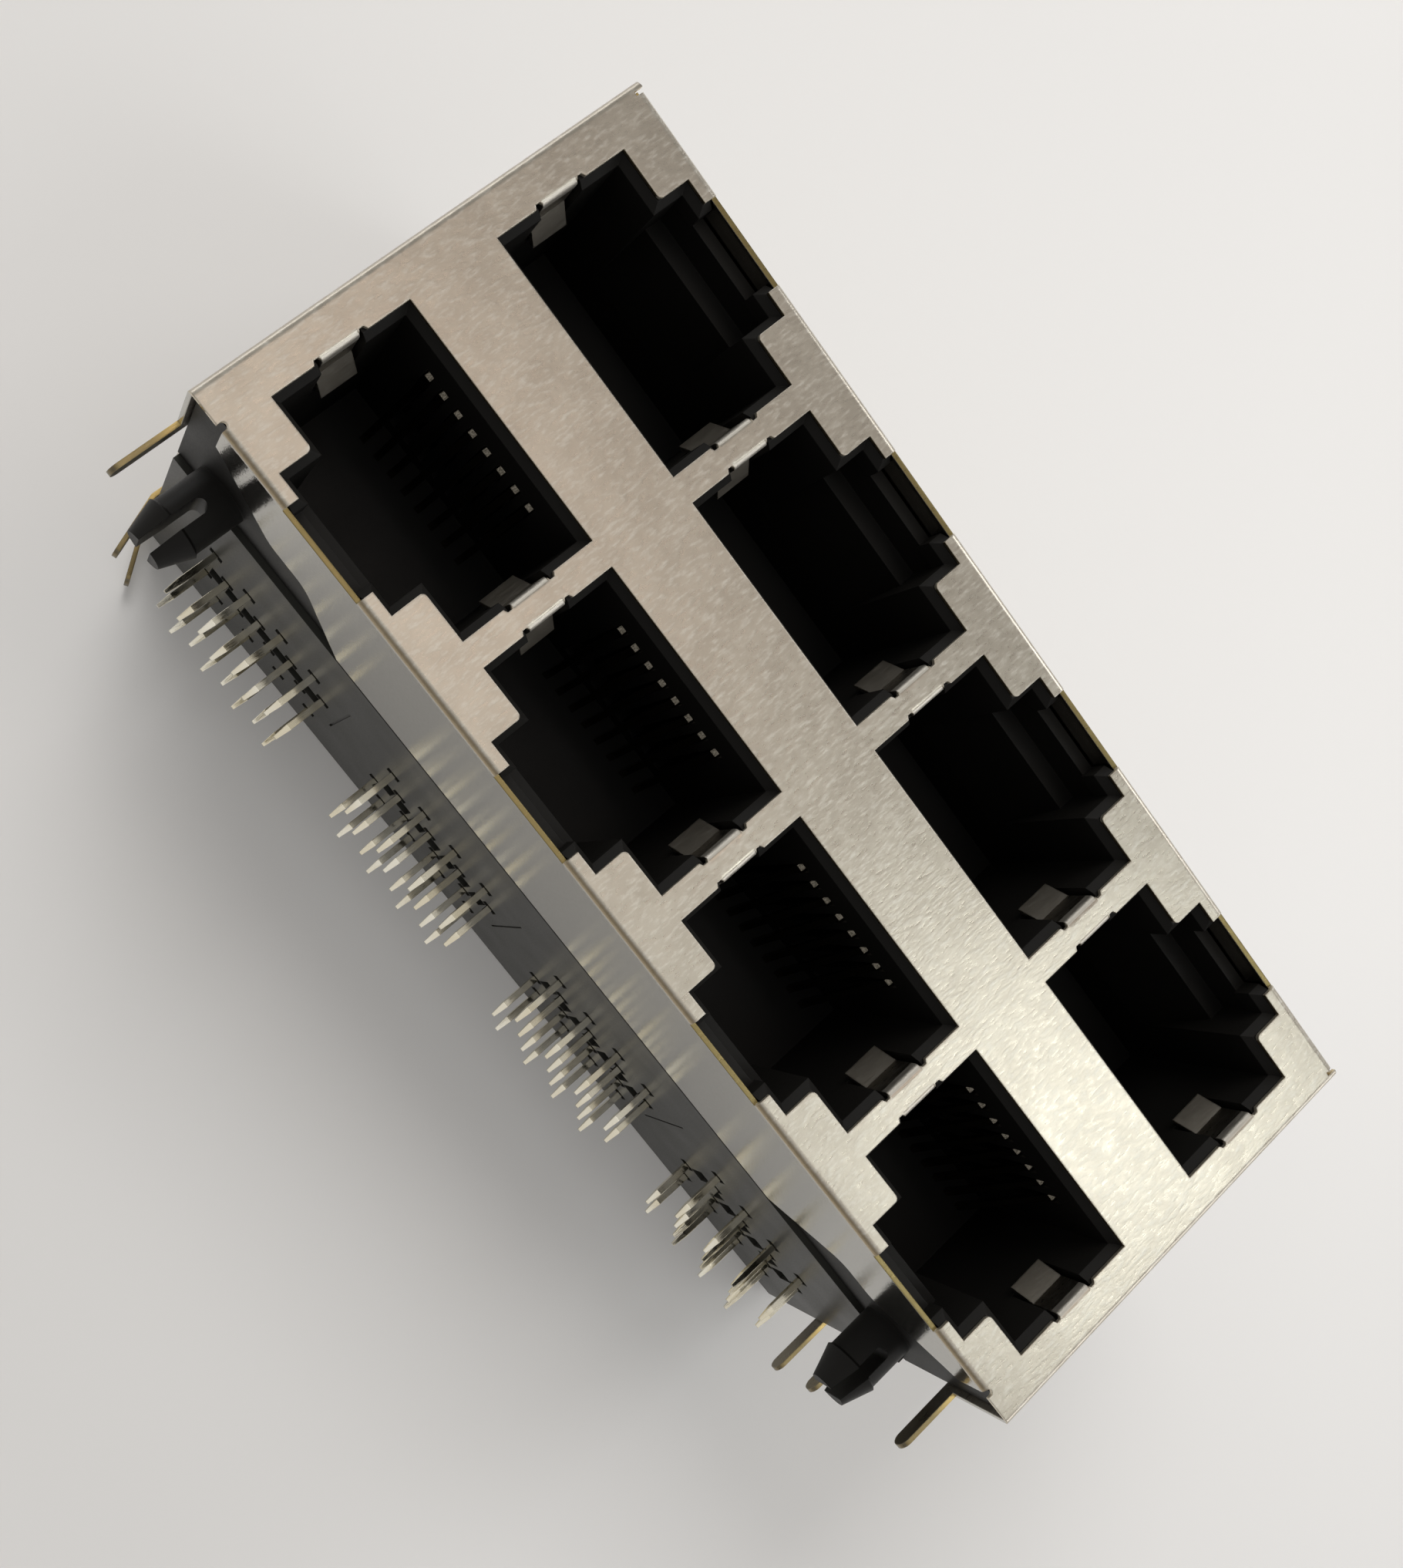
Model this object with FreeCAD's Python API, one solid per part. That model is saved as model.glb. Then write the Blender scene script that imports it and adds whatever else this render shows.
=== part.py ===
import FreeCAD, Part
import math
import os

from FreeCAD import Vector

# Stacked board jack: two rows of plug ports in a folded metal shell.
# Millimetres. X runs along the port row, Y goes in through the front, Z stands up from the board.
# Depths are measured from the front plate. The finished pieces are moved so that the origin lies
# on the board, midway between the two pegs.

# Port layout
COLUMNS = 4
PORT_PITCH = 13.97
END_MARGIN = 1.36
CONTACTS = 8
CONTACT_PITCH = 1.016

# Solder tails: two staggered rows for each port row, all on one grid
TAIL_PITCH = 1.27
TAIL_ROW_STEP = 2.54
TAIL_FIRST_ROW = 18.4
TAIL_FIRST_OFFSET = -3.81
TAIL_REACH = 3.13

# Folded shell
SHELL_HEIGHT = 24.6
SHELL_DEPTH = 30.2
SHEET = 0.25
BEND_RADIUS = 0.35
CORNER_GAP = 0.2
CORNER_RISE = 0.15

# Clearance between pieces that nest in each other
FIT = 0.08

# Port window in the front plate: the sheet left between neighbours, half widths of the steps,
# heights from the plane between the rows, and the sheet left outside the latch step
WINDOW_BRIDGE = 1.39
WINDOW_INNER = 2.41
WINDOW_OUTER = 9.78
LATCH_HALF = 3.65
LATCH_BAND = 0.79
THUMB_HALF = 2.39
WINDOW_CORNER = 0.25

# Spring fingers folded in from both sides of every window
FINGER_WIDTH = 2.0
FINGER_INSET = 0.05
FINGER_STRAIGHT = 2.4
FINGER_TIP = 1.58
FINGER_ANGLE = 29.0
FINGER_RELIEF = 0.2
RELIEF_SIDES = 6

# Bottom flange: it narrows in front of the pegs. The insets are from the shell's sides
FLANGE_PAST_PEG = 0.1
FLANGE_PEG_GAP = 1.4
FLANGE_FULL_INSET = 12.1
FLANGE_WAIST_INSET = 8.8
FLANGE_WAIST_LENGTH = 2.5
FLANGE_END_INSET = 2.1
FLANGE_END_DEPTH = 2.6
FLANGE_RELIEF = 0.18
FLANGE_ROUND = 1.5

# Ground pins cut from the side walls. On the left the two behind the peg are bent in, in degrees
FRONT_PIN = 6.0
MIDDLE_PIN = 17.2
REAR_PIN = 22.2
PIN_END_GAP = 0.12
REAR_PIN_LEAN = 20.0
END_PIN_LEAN = 36.0
PIN_WIDTH = 1.1
PIN_REACH = 3.7
WALL_RISE = 0.9

# Rear cover with side flaps that clip over nibs on the side walls
FLAP_LENGTH = 5.6
FLAP_HALF = 8.5
NIB_HEIGHT = 0.3
NIB_LENGTH = 1.2
NIB_WIDTH = 3.0
NIB_OFFSET = 4.5
NIB_SETBACK = 3.4
WINDOW_PLAY = 0.25
REAR_LIFT = 0.6

# Plug cavities in the housing. The latch pocket ends at a stop, and a channel slopes down behind it
LEAD_IN = 0.35
LEAD_DEPTH = 0.4
LIP_DEPTH = 1.6
POCKET_ROOF = 0.65
POCKET_DEPTH = 4.2
POCKET_STOP = 0.95
CHANNEL_DEPTH = 10.5
CAVITY_DEPTH = 13.3
CAVITY_BACK = 1.5
FINGER_ROOM = 0.12

# Rear frame of the housing
FRAME_TOP = 1.4
FRAME_SIDE = 1.5
FRAME_PARTITION = 1.0
FRAME_SHORT = 1.6
HOUSING_SHORT = 0.6

# Split pegs that snap into the board
PEG_INSET = 3.15
PEG_Y = 9.5
PEG_RADIUS = 1.5
PEG_BARB = 0.12
PEG_BARB_DROP = 2.4
PEG_TIP_RADIUS = 1.05
PEG_REACH = 4.05
PEG_SLOT = 0.75
PEG_SLOT_ROOT = 1.1
PEG_SINK = 0.8

# Contact strips
STRIP_WIDTH = 0.36
STRIP_THICK = 0.30
STRIP_TIP = 0.9
STRIP_TIP_TAPER = 0.08
RUN_HEIGHT = 1.5
NOSE_FRONT = 3.45
NOSE_SLOPE = 0.6
NOSE_HEIGHT = 2.15
SPRING_FOOT = 2.62
SPRING_FOOT_BACK = 0.3
SPRING_END = 10.4
SPRING_RISE = 4.85
JOG_START = 8.0
JOG_END = 13.0

# Combs and carriers that hold the strips
COMB_PLAY = 0.08
COMB_FRONT = 2.8
COMB_END = 12.2
CARRIER_MARGIN = 0.19
CARRIER_LEG = 1.55
CHEEK_PLAY = 0.18
CHEEK_GAP = 1.7
RUN_ROOM = 0.25
LEG_GAP = 0.15

# Tail plate
PLATE_THICK = 1.6
PLATE_GAP = 0.22
PLATE_SIDE_GAP = 0.1
TAIL_SLOT_WIDTH = 0.9
TAIL_SLOT_DEPTH = 0.7
RELIEF_WIDTH = 0.92
RELIEF_RISE = 1.0
RELIEF_WEB = 0.08
MARK_WIDTH = 0.12
MARK_DEPTH = 0.1
MARK_FRONT = 17.3
MARK_LENGTH = 6.5
MARK_OFFSET = -0.6

# Sizes that follow from the ones above
MID_Z = SHELL_HEIGHT / 2
HALF_WIDTH = COLUMNS * PORT_PITCH / 2 + END_MARGIN
WINDOW_HALF = (PORT_PITCH - WINDOW_BRIDGE) / 2
LATCH_OUTER = MID_Z - LATCH_BAND
PEG_X = HALF_WIDTH - PEG_INSET
FLANGE_DEPTH = PEG_Y + PEG_RADIUS + FLANGE_PAST_PEG
FLANGE_FULL_HALF = HALF_WIDTH - FLANGE_FULL_INSET
FLANGE_WAIST_HALF = HALF_WIDTH - FLANGE_WAIST_INSET
FLANGE_WAIST_DEPTH = PEG_Y - PEG_RADIUS - FLANGE_PEG_GAP
FLANGE_END_HALF = HALF_WIDTH - FLANGE_END_INSET
NIB_PLACES = (MID_Z - NIB_OFFSET, MID_Z + NIB_OFFSET)
HOUSING_HALF = HALF_WIDTH - SHEET - FIT
HOUSING_FRONT = SHEET + FIT
HOUSING_BOTTOM = SHEET + FIT
HOUSING_TOP = SHELL_HEIGHT - SHEET - FIT
HOUSING_END = SHELL_DEPTH - HOUSING_SHORT
BLOCK_END = CAVITY_DEPTH + CAVITY_BACK
LIP_END = HOUSING_FRONT + LIP_DEPTH
POCKET_OUTER = HOUSING_TOP - MID_Z - POCKET_ROOF
PLATE_FRONT = FLANGE_DEPTH + PLATE_GAP
PLATE_TOP = PLATE_THICK + FIT
WALL_END = SHELL_DEPTH - SHEET - FIT
END_PIN = WALL_END - PIN_END_GAP - PIN_WIDTH / 2
FINGER_FACE = WINDOW_HALF - FINGER_INSET
FINGER_BEND_START = FINGER_FACE + BEND_RADIUS
FINGER_MID = (WINDOW_INNER + WINDOW_OUTER) / 2
STRIP_FLOOR = RUN_HEIGHT - STRIP_THICK / 2
STRIP_ROOF = RUN_HEIGHT + STRIP_THICK / 2 + RUN_ROOM
TAIL_LAST_OFFSET = TAIL_FIRST_OFFSET + (CONTACTS - 1) * TAIL_PITCH
CARRIER_HALF = TAIL_LAST_OFFSET + STRIP_WIDTH / 2 + CARRIER_MARGIN
CHEEK_HALF = (PORT_PITCH - FRAME_PARTITION) / 2 - CHEEK_PLAY
CHEEK_FRONT = BLOCK_END + CHEEK_GAP
BEYOND = 1.0

UPPER = 1
LOWER = -1
RIGHT = 1
LEFT = -1

# Side, depth and inward lean of every ground pin
GROUND_PINS = (
    (RIGHT, FRONT_PIN, 0),
    (RIGHT, MIDDLE_PIN, 0),
    (RIGHT, REAR_PIN, 0),
    (LEFT, FRONT_PIN, 0),
    (LEFT, REAR_PIN, REAR_PIN_LEAN),
    (LEFT, END_PIN, END_PIN_LEAN),
)


def column_x(column):
    """Middle of a port column."""
    return (column - (COLUMNS - 1) / 2) * PORT_PITCH


def level(row, height):
    """Z of a height measured away from the plane between the two rows."""
    return MID_Z + row * height


def block(x_range, y_range, z_range):
    """Box between three pairs of limits, given in either order."""
    lows = [min(pair) for pair in (x_range, y_range, z_range)]
    sizes = [max(pair) - min(pair) for pair in (x_range, y_range, z_range)]
    return Part.makeBox(*sizes, Vector(*lows))


def prism(points, way):
    """Straight solid with a polygon as its section."""
    return Part.Face(Part.makePolygon(points + points[:1])).extrude(way)


def rounded_face(corners, radius, rounded):
    """Flat face through the corners, with an arc at those whose places in the list are given."""
    edges = []
    ends = []
    for index, corner in enumerate(corners):
        if index not in rounded:
            ends.append((corner, corner))
            continue
        back = (corners[index - 1] - corner).normalize()
        ahead = (corners[(index + 1) % len(corners)] - corner).normalize()
        half_angle = back.getAngle(ahead) / 2
        reach = radius / math.tan(half_angle)
        sag = radius / math.sin(half_angle) - radius
        start = corner + back * reach
        end = corner + ahead * reach
        edges.append(Part.Arc(start, corner + (back + ahead).normalize() * sag, end).toShape())
        ends.append((start, end))
    for index, (start, _) in enumerate(ends):
        edges.append(Part.LineSegment(ends[index - 1][1], start).toShape())
    return Part.Face(Part.Wire(Part.__sortEdges__(edges)))


def punch(centre, radius, way):
    """Many-sided punch round a centre, for the small reliefs that repeat."""
    turns = [2 * math.pi * (side + 0.5) / RELIEF_SIDES for side in range(RELIEF_SIDES)]
    reach = radius / math.cos(math.pi / RELIEF_SIDES)
    ring = [centre + Vector(reach * math.cos(turn), 0, reach * math.sin(turn)) for turn in turns]
    return prism(ring, way)


def round_edge(solid, radius, along, place):
    """Fillet the straight edges parallel to an axis whose middle lies at the given coordinates."""
    def matches(edge):
        middle = edge.CenterOfMass
        runs_along = abs(edge.tangentAt(edge.FirstParameter).dot(along)) > 0.999
        offsets = [abs(getattr(middle, axis) - value) for axis, value in place.items()]
        return runs_along and max(offsets) < 1e-6
    return solid.makeFillet(radius, [edge for edge in solid.Edges if matches(edge)])


def window_outline(column, row, y, inset):
    """Corners of the stepped port window at a depth, drawn in by an inset."""
    half_steps = (
        (WINDOW_HALF - inset, WINDOW_INNER + inset),
        (WINDOW_HALF - inset, WINDOW_OUTER - inset),
        (LATCH_HALF - inset, WINDOW_OUTER - inset),
        (LATCH_HALF - inset, LATCH_OUTER - inset),
        (THUMB_HALF - inset, LATCH_OUTER - inset),
        (THUMB_HALF - inset, MID_Z + BEYOND),
    )
    right = [Vector(column_x(column) + half, y, level(row, height)) for half, height in half_steps]
    left = [Vector(column_x(column) - half, y, level(row, height)) for half, height in half_steps]
    return right + left[::-1]


def ports():
    """Every port as its column and row."""
    return [(column, row) for column in range(COLUMNS) for row in (UPPER, LOWER)]


# Front shell

def shell_wrap():
    """Front plate and side walls, folded at the two upright edges."""
    outer = block((-HALF_WIDTH, HALF_WIDTH), (0, WALL_END), (0, SHELL_HEIGHT))
    outer = round_edge(outer, BEND_RADIUS, Vector(0, 0, 1), {"y": 0})
    inner_half = HALF_WIDTH - SHEET
    inner = block((-inner_half, inner_half), (SHEET, WALL_END + BEYOND),
                  (-BEYOND, SHELL_HEIGHT + BEYOND))
    inner = round_edge(inner, BEND_RADIUS - SHEET, Vector(0, 0, 1), {"y": SHEET})
    return outer.cut(inner)


def folded_panel(half_width, depth, row):
    """Panel folded back from the front plate at its top or bottom edge."""
    rise = MID_Z - 2 * BEND_RADIUS
    sides = (-half_width, half_width)
    outer = block(sides, (0, depth), (level(row, rise), level(row, MID_Z)))
    outer = round_edge(outer, BEND_RADIUS, Vector(1, 0, 0), {"y": 0, "z": level(row, MID_Z)})
    wide = (-half_width - BEYOND, half_width + BEYOND)
    inner = block(wide, (SHEET, depth + BEYOND), (level(row, rise - BEYOND), level(row, MID_Z - SHEET)))
    place = {"y": SHEET, "z": level(row, MID_Z - SHEET)}
    inner = round_edge(inner, BEND_RADIUS - SHEET, Vector(1, 0, 0), place)
    return outer.cut(inner)


def fold_room(half_width, row):
    """Strip of the front plate that a folded panel takes the place of."""
    return block((-half_width, half_width), (-BEYOND, BEND_RADIUS),
                 (level(row, MID_Z - BEND_RADIUS), level(row, MID_Z + BEYOND)))


def top_panel():
    """Top of the shell: a narrow fold at the front that widens to fill the space between the walls."""
    fold_half = HALF_WIDTH - BEND_RADIUS - CORNER_GAP
    wide_half = HALF_WIDTH - SHEET - FIT
    wide_front = 2 * BEND_RADIUS
    wide = block((-wide_half, wide_half), (wide_front, WALL_END), (SHELL_HEIGHT - SHEET, SHELL_HEIGHT))
    return folded_panel(fold_half, WALL_END, UPPER).fuse(wide), fold_half


def bottom_flange():
    """Flange under the housing, cut back on both sides where the pegs come through."""
    panel = folded_panel(FLANGE_END_HALF, FLANGE_DEPTH, LOWER)
    right = (
        (FLANGE_END_HALF + BEYOND, FLANGE_END_DEPTH),
        (FLANGE_END_HALF, FLANGE_END_DEPTH),
        (FLANGE_WAIST_HALF + FLANGE_WAIST_LENGTH, FLANGE_WAIST_DEPTH),
        (FLANGE_WAIST_HALF, FLANGE_WAIST_DEPTH),
        (FLANGE_FULL_HALF, FLANGE_DEPTH),
        (FLANGE_FULL_HALF, FLANGE_DEPTH + BEYOND),
        (FLANGE_END_HALF + BEYOND, FLANGE_DEPTH + BEYOND),
    )
    bends = (1, 2, 3)
    for side in (-1, 1):
        corners = [Vector(side * x, y, -BEYOND) for x, y in right]
        corner_cut = rounded_face(corners, FLANGE_ROUND, bends)
        panel = panel.cut(corner_cut.extrude(Vector(0, 0, BEYOND + 2 * SHEET)))
    return panel


def corner_slits(fold_half):
    """Gaps beside the top fold and round reliefs beside the bottom fold."""
    cuts = []
    for side in (-1, 1):
        slit = (side * fold_half, side * (fold_half + CORNER_GAP))
        low = SHELL_HEIGHT - BEND_RADIUS - CORNER_RISE
        cuts.append(block(slit, (-BEYOND, 2 * BEND_RADIUS), (low, SHELL_HEIGHT + BEYOND)))
        foot = Vector(side * (FLANGE_END_HALF + FLANGE_RELIEF), -BEYOND, FLANGE_RELIEF)
        cuts.append(Part.makeCylinder(FLANGE_RELIEF, BEYOND + BEND_RADIUS, foot, Vector(0, 1, 0)))
        gap = (side * FLANGE_END_HALF, side * (FLANGE_END_HALF + 2 * FLANGE_RELIEF))
        cuts.append(block(gap, (-BEYOND, BEND_RADIUS), (-BEYOND, FLANGE_RELIEF)))
    return cuts


def finger(column, row, side):
    """Spring finger: folded in at the window's edge, straight back, then bent towards the plug."""
    turn = math.radians(FINGER_ANGLE)
    lean = Vector(-math.sin(turn), math.cos(turn), 0)
    thick = Vector(math.cos(turn), math.sin(turn), 0) * SHEET
    root = FINGER_FACE + 2 * BEND_RADIUS
    knee = Vector(FINGER_FACE, FINGER_STRAIGHT, 0)
    tip = knee + lean * FINGER_TIP
    back_knee = Vector(FINGER_FACE + SHEET, FINGER_STRAIGHT + SHEET * math.tan(turn / 2), 0)
    corners = [
        Vector(root, 0, 0),
        Vector(FINGER_FACE, 0, 0),
        knee,
        tip,
        tip + thick,
        back_knee,
        Vector(FINGER_FACE + SHEET, SHEET, 0),
        Vector(root, SHEET, 0),
    ]
    fold = (1,)
    solid = rounded_face(corners, BEND_RADIUS, fold).extrude(Vector(0, 0, FINGER_WIDTH))
    if side < 0:
        solid = solid.mirror(Vector(0, 0, 0), Vector(1, 0, 0))
    solid.translate(Vector(column_x(column), 0, level(row, FINGER_MID) - FINGER_WIDTH / 2))
    return solid


def window_cuts():
    """Stepped windows, with room for the fingers' folds and round reliefs at their ends."""
    cuts = []
    plate = (-BEYOND, BEND_RADIUS)
    through = Vector(0, plate[1] - plate[0], 0)
    jutting = (2, 9)
    for column, row in ports():
        outline = window_outline(column, row, plate[0], 0)
        cuts.append(rounded_face(outline, WINDOW_CORNER, jutting).extrude(through))
        for side in (-1, 1):
            edge = column_x(column) + side * WINDOW_HALF
            fold = (edge - side * FIT, column_x(column) + side * FINGER_BEND_START)
            middle = level(row, FINGER_MID)
            half = FINGER_WIDTH / 2
            cuts.append(block(fold, plate, (middle - half, middle + half)))
            for end in (-1, 1):
                foot = Vector(edge, plate[0], middle + end * (half + FINGER_RELIEF))
                cuts.append(punch(foot, FINGER_RELIEF, through))
    return cuts


def ground_pin(side, place, lean):
    """Flat pin with a rounded tip, cut from the bottom of a side wall and bent in at the board."""
    half = PIN_WIDTH / 2
    x = side * HALF_WIDTH
    tip = half - PIN_REACH
    edges = [
        Part.LineSegment(Vector(x, place - half, tip), Vector(x, place - half, 0)),
        Part.LineSegment(Vector(x, place - half, 0), Vector(x, place + half, 0)),
        Part.LineSegment(Vector(x, place + half, 0), Vector(x, place + half, tip)),
        Part.Arc(Vector(x, place + half, tip), Vector(x, place, -PIN_REACH), Vector(x, place - half, tip)),
    ]
    face = Part.Face(Part.Wire([edge.toShape() for edge in edges]))
    pin = face.extrude(Vector(-side * SHEET, 0, 0))
    pin.rotate(Vector(x, 0, 0), Vector(0, 1, 0), side * lean)
    root = block((x, x - side * SHEET), (place - half, place + half), (0, WALL_RISE + half))
    return pin.fuse(root)


def nib(side, place):
    """Ramp on a side wall that the rear cover's flap snaps over."""
    front = WALL_END - NIB_SETBACK
    x = side * HALF_WIDTH
    low = place - NIB_WIDTH / 2
    ramp = [
        Vector(x, front, low),
        Vector(x, front + NIB_LENGTH, low),
        Vector(x + side * NIB_HEIGHT, front, low),
    ]
    return prism(ramp, Vector(0, 0, NIB_WIDTH))


def front_shell():
    """Whole front shell as one folded piece."""
    top, fold_half = top_panel()
    wrap = shell_wrap().cut([fold_room(fold_half, UPPER), fold_room(FLANGE_END_HALF, LOWER)])
    front_pin_end = FRONT_PIN + PIN_WIDTH / 2
    raised = block((-HALF_WIDTH - BEYOND, HALF_WIDTH + BEYOND), (front_pin_end, WALL_END + BEYOND),
                   (-BEYOND, WALL_RISE))
    shell = wrap.cut(raised).fuse([top, bottom_flange()])
    shell = shell.cut(corner_slits(fold_half) + window_cuts())
    details = [finger(column, row, side) for column, row in ports() for side in (-1, 1)]
    details += [ground_pin(side, place, lean) for side, place, lean in GROUND_PINS]
    details += [nib(side, place) for side in (LEFT, RIGHT) for place in NIB_PLACES]
    return shell.fuse(details).removeSplitter()


# Rear shell

def rear_shell():
    """Rear cover: a plate with a flap at each side, open where the wall's nibs catch."""
    inner_half = HALF_WIDTH + FIT
    outer_half = inner_half + SHEET
    front = SHELL_DEPTH - FLAP_LENGTH
    outer = block((-outer_half, outer_half), (front, SHELL_DEPTH), (REAR_LIFT, SHELL_HEIGHT))
    outer = round_edge(outer, BEND_RADIUS, Vector(0, 0, 1), {"y": SHELL_DEPTH})
    inner = block((-inner_half, inner_half), (front - BEYOND, SHELL_DEPTH - SHEET),
                  (REAR_LIFT - BEYOND, SHELL_HEIGHT + BEYOND))
    inner = round_edge(inner, BEND_RADIUS - SHEET, Vector(0, 0, 1), {"y": SHELL_DEPTH - SHEET})
    cover = outer.cut(inner)
    cuts = []
    plate_front = SHELL_DEPTH - BEND_RADIUS
    for side in (-1, 1):
        across = (side * (HALF_WIDTH - SHEET), side * (outer_half + BEYOND))
        flap = (front - BEYOND, plate_front)
        cuts.append(block(across, flap, (REAR_LIFT - BEYOND, MID_Z - FLAP_HALF)))
        cuts.append(block(across, flap, (MID_Z + FLAP_HALF, SHELL_HEIGHT + BEYOND)))
        nib_front = WALL_END - NIB_SETBACK
        for place in NIB_PLACES:
            half = NIB_WIDTH / 2 + WINDOW_PLAY
            cuts.append(block(across, (nib_front - WINDOW_PLAY, nib_front + NIB_LENGTH + WINDOW_PLAY),
                              (place - half, place + half)))
    return cover.cut(cuts).removeSplitter()


# Housing

def peg(side):
    """Round peg with a barb and a tapered end, split so that it can squeeze through its hole."""
    barb = PEG_RADIUS + PEG_BARB
    barb_root = PEG_BARB_DROP - PEG_BARB
    outline = [(0, PEG_SINK), (PEG_RADIUS, PEG_SINK), (PEG_RADIUS, -barb_root), (barb, -PEG_BARB_DROP),
               (PEG_TIP_RADIUS, -PEG_REACH), (0, -PEG_REACH)]
    points = [Vector(side * PEG_X + radius, PEG_Y, z) for radius, z in outline]
    face = Part.Face(Part.makePolygon(points + points[:1]))
    solid = face.revolve(Vector(side * PEG_X, PEG_Y, 0), Vector(0, 0, 1), 360)
    half = PEG_SLOT / 2
    through = PEG_RADIUS + BEYOND
    slot = block((side * PEG_X - half, side * PEG_X + half), (PEG_Y - through, PEG_Y + through),
                 (-PEG_SLOT_ROOT, -PEG_REACH - BEYOND))
    root = Part.makeCylinder(half, 2 * through, Vector(side * PEG_X, PEG_Y - through, -PEG_SLOT_ROOT),
                             Vector(0, 1, 0))
    return solid.cut([slot, root])


def housing_body():
    """Front block, rear frame and partitions before the cavities are cut."""
    across = (-HOUSING_HALF, HOUSING_HALF)
    block_part = block(across, (HOUSING_FRONT, BLOCK_END), (HOUSING_BOTTOM, HOUSING_TOP))
    plate_room = block((-HOUSING_HALF - BEYOND, HOUSING_HALF + BEYOND),
                       (PLATE_FRONT - FIT, BLOCK_END + BEYOND), (HOUSING_BOTTOM - BEYOND, PLATE_TOP))
    block_part = block_part.cut(plate_room)
    frame = (BLOCK_END - BEYOND, HOUSING_END)
    pieces = [block(across, frame, (HOUSING_TOP - FRAME_TOP, HOUSING_TOP))]
    for side in (-1, 1):
        pieces.append(block((side * (HOUSING_HALF - FRAME_SIDE), side * HOUSING_HALF), frame,
                            (PLATE_TOP, HOUSING_TOP)))
        pieces.append(peg(side))
    for boundary in range(1, COLUMNS):
        middle = column_x(boundary - 0.5)
        pieces.append(block((middle - FRAME_PARTITION / 2, middle + FRAME_PARTITION / 2),
                            (BLOCK_END - BEYOND, HOUSING_END - FRAME_SHORT), (PLATE_TOP, HOUSING_TOP)))
    return block_part.fuse(pieces)


def port_cuts(column, row):
    """Plug cavity: chamfered mouth, stepped lip, latch pocket with its channel, and finger pockets."""
    x = column_x(column)
    half = WINDOW_HALF - LEAD_IN
    inner = WINDOW_INNER + LEAD_IN
    outer = WINDOW_OUTER - LEAD_IN
    mouth = [Part.makePolygon(ring + ring[:1]) for ring in (
        window_outline(column, row, HOUSING_FRONT, 0),
        window_outline(column, row, HOUSING_FRONT + LEAD_DEPTH, LEAD_IN))]
    cuts = [Part.makeLoft(mouth, True, True)]
    cuts.append(prism(window_outline(column, row, HOUSING_FRONT, LEAD_IN), Vector(0, LIP_DEPTH, 0)))
    cuts.append(block((x - half, x + half), (LIP_END - FIT, CAVITY_DEPTH),
                      (level(row, inner), level(row, outer))))
    latch = LATCH_HALF - LEAD_IN
    pocket = [(LIP_END, outer - FIT), (LIP_END, POCKET_OUTER), (POCKET_DEPTH, POCKET_OUTER),
              (POCKET_DEPTH, POCKET_OUTER - POCKET_STOP), (CHANNEL_DEPTH, outer - FIT)]
    section = [Vector(x - latch, y, level(row, height)) for y, height in pocket]
    cuts.append(prism(section, Vector(2 * latch, 0, 0)))
    pocket_half = FINGER_WIDTH / 2 + FINGER_RELIEF
    middle = level(row, FINGER_MID)
    reach = FINGER_FACE + SHEET + FINGER_ROOM
    depth = FINGER_STRAIGHT + FINGER_TIP
    cuts.append(block((x - reach, x + reach), (HOUSING_FRONT, depth),
                      (middle - pocket_half, middle + pocket_half)))
    return cuts


def comb_cuts(column, row):
    """One slot for each contact strip, through the wall between the carrier and the plug cavity."""
    half = STRIP_WIDTH / 2 + COMB_PLAY
    heights = (level(row, RUN_HEIGHT), level(row, WINDOW_INNER + LEAD_IN + FIT))
    middles = [contact_x(column, index) for index in range(CONTACTS)]
    return [block((x - half, x + half), (COMB_FRONT, COMB_END), heights) for x in middles]


def carrier_slot(column):
    """Slot in the middle wall that takes both of a column's carriers from the rear."""
    x = column_x(column)
    half = CARRIER_HALF + FIT
    return block((x - half, x + half), (COMB_FRONT, BLOCK_END + BEYOND),
                 (MID_Z - STRIP_ROOF, MID_Z + STRIP_ROOF))


def housing():
    """Housing with its cavities."""
    cuts = [carrier_slot(column) for column in range(COLUMNS)]
    for column, row in ports():
        cuts += port_cuts(column, row) + comb_cuts(column, row)
    return housing_body().cut(cuts).removeSplitter()


# Contact strips

def contact_x(column, index):
    """Place of a contact across its port."""
    return column_x(column) + (index - (CONTACTS - 1) / 2) * CONTACT_PITCH


def tail_place(column, row, index):
    """Place of a contact's solder tail on the board."""
    first = TAIL_FIRST_ROW if row == LOWER else TAIL_FIRST_ROW + 2 * TAIL_ROW_STEP
    x = column_x(column) + TAIL_FIRST_OFFSET + index * TAIL_PITCH
    return x, first + (index % 2) * TAIL_ROW_STEP


def offset_path(path, distance):
    """Points of a path moved sideways in its own plane, with mitred corners."""
    moved = []
    for index, (y, z) in enumerate(path):
        before = path[max(index - 1, 0)]
        after = path[min(index + 1, len(path) - 1)]
        runs = ((before, (y, z)), ((y, z), after))
        ways = [math.atan2(b[1] - a[1], b[0] - a[0]) for a, b in runs if a != b]
        turn = (ways[-1] - ways[0] + math.pi) % (2 * math.pi) - math.pi
        normal = ways[0] + turn / 2 + math.pi / 2
        reach = distance / math.cos(turn / 2)
        moved.append((y + reach * math.cos(normal), z + reach * math.sin(normal)))
    return moved


def strip(path, x):
    """Flat strip bent along a path of depths and heights."""
    half = STRIP_THICK / 2
    outline = offset_path(path, half) + offset_path(path, -half)[::-1]
    return prism([Vector(x - STRIP_WIDTH / 2, y, z) for y, z in outline], Vector(STRIP_WIDTH, 0, 0))


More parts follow.
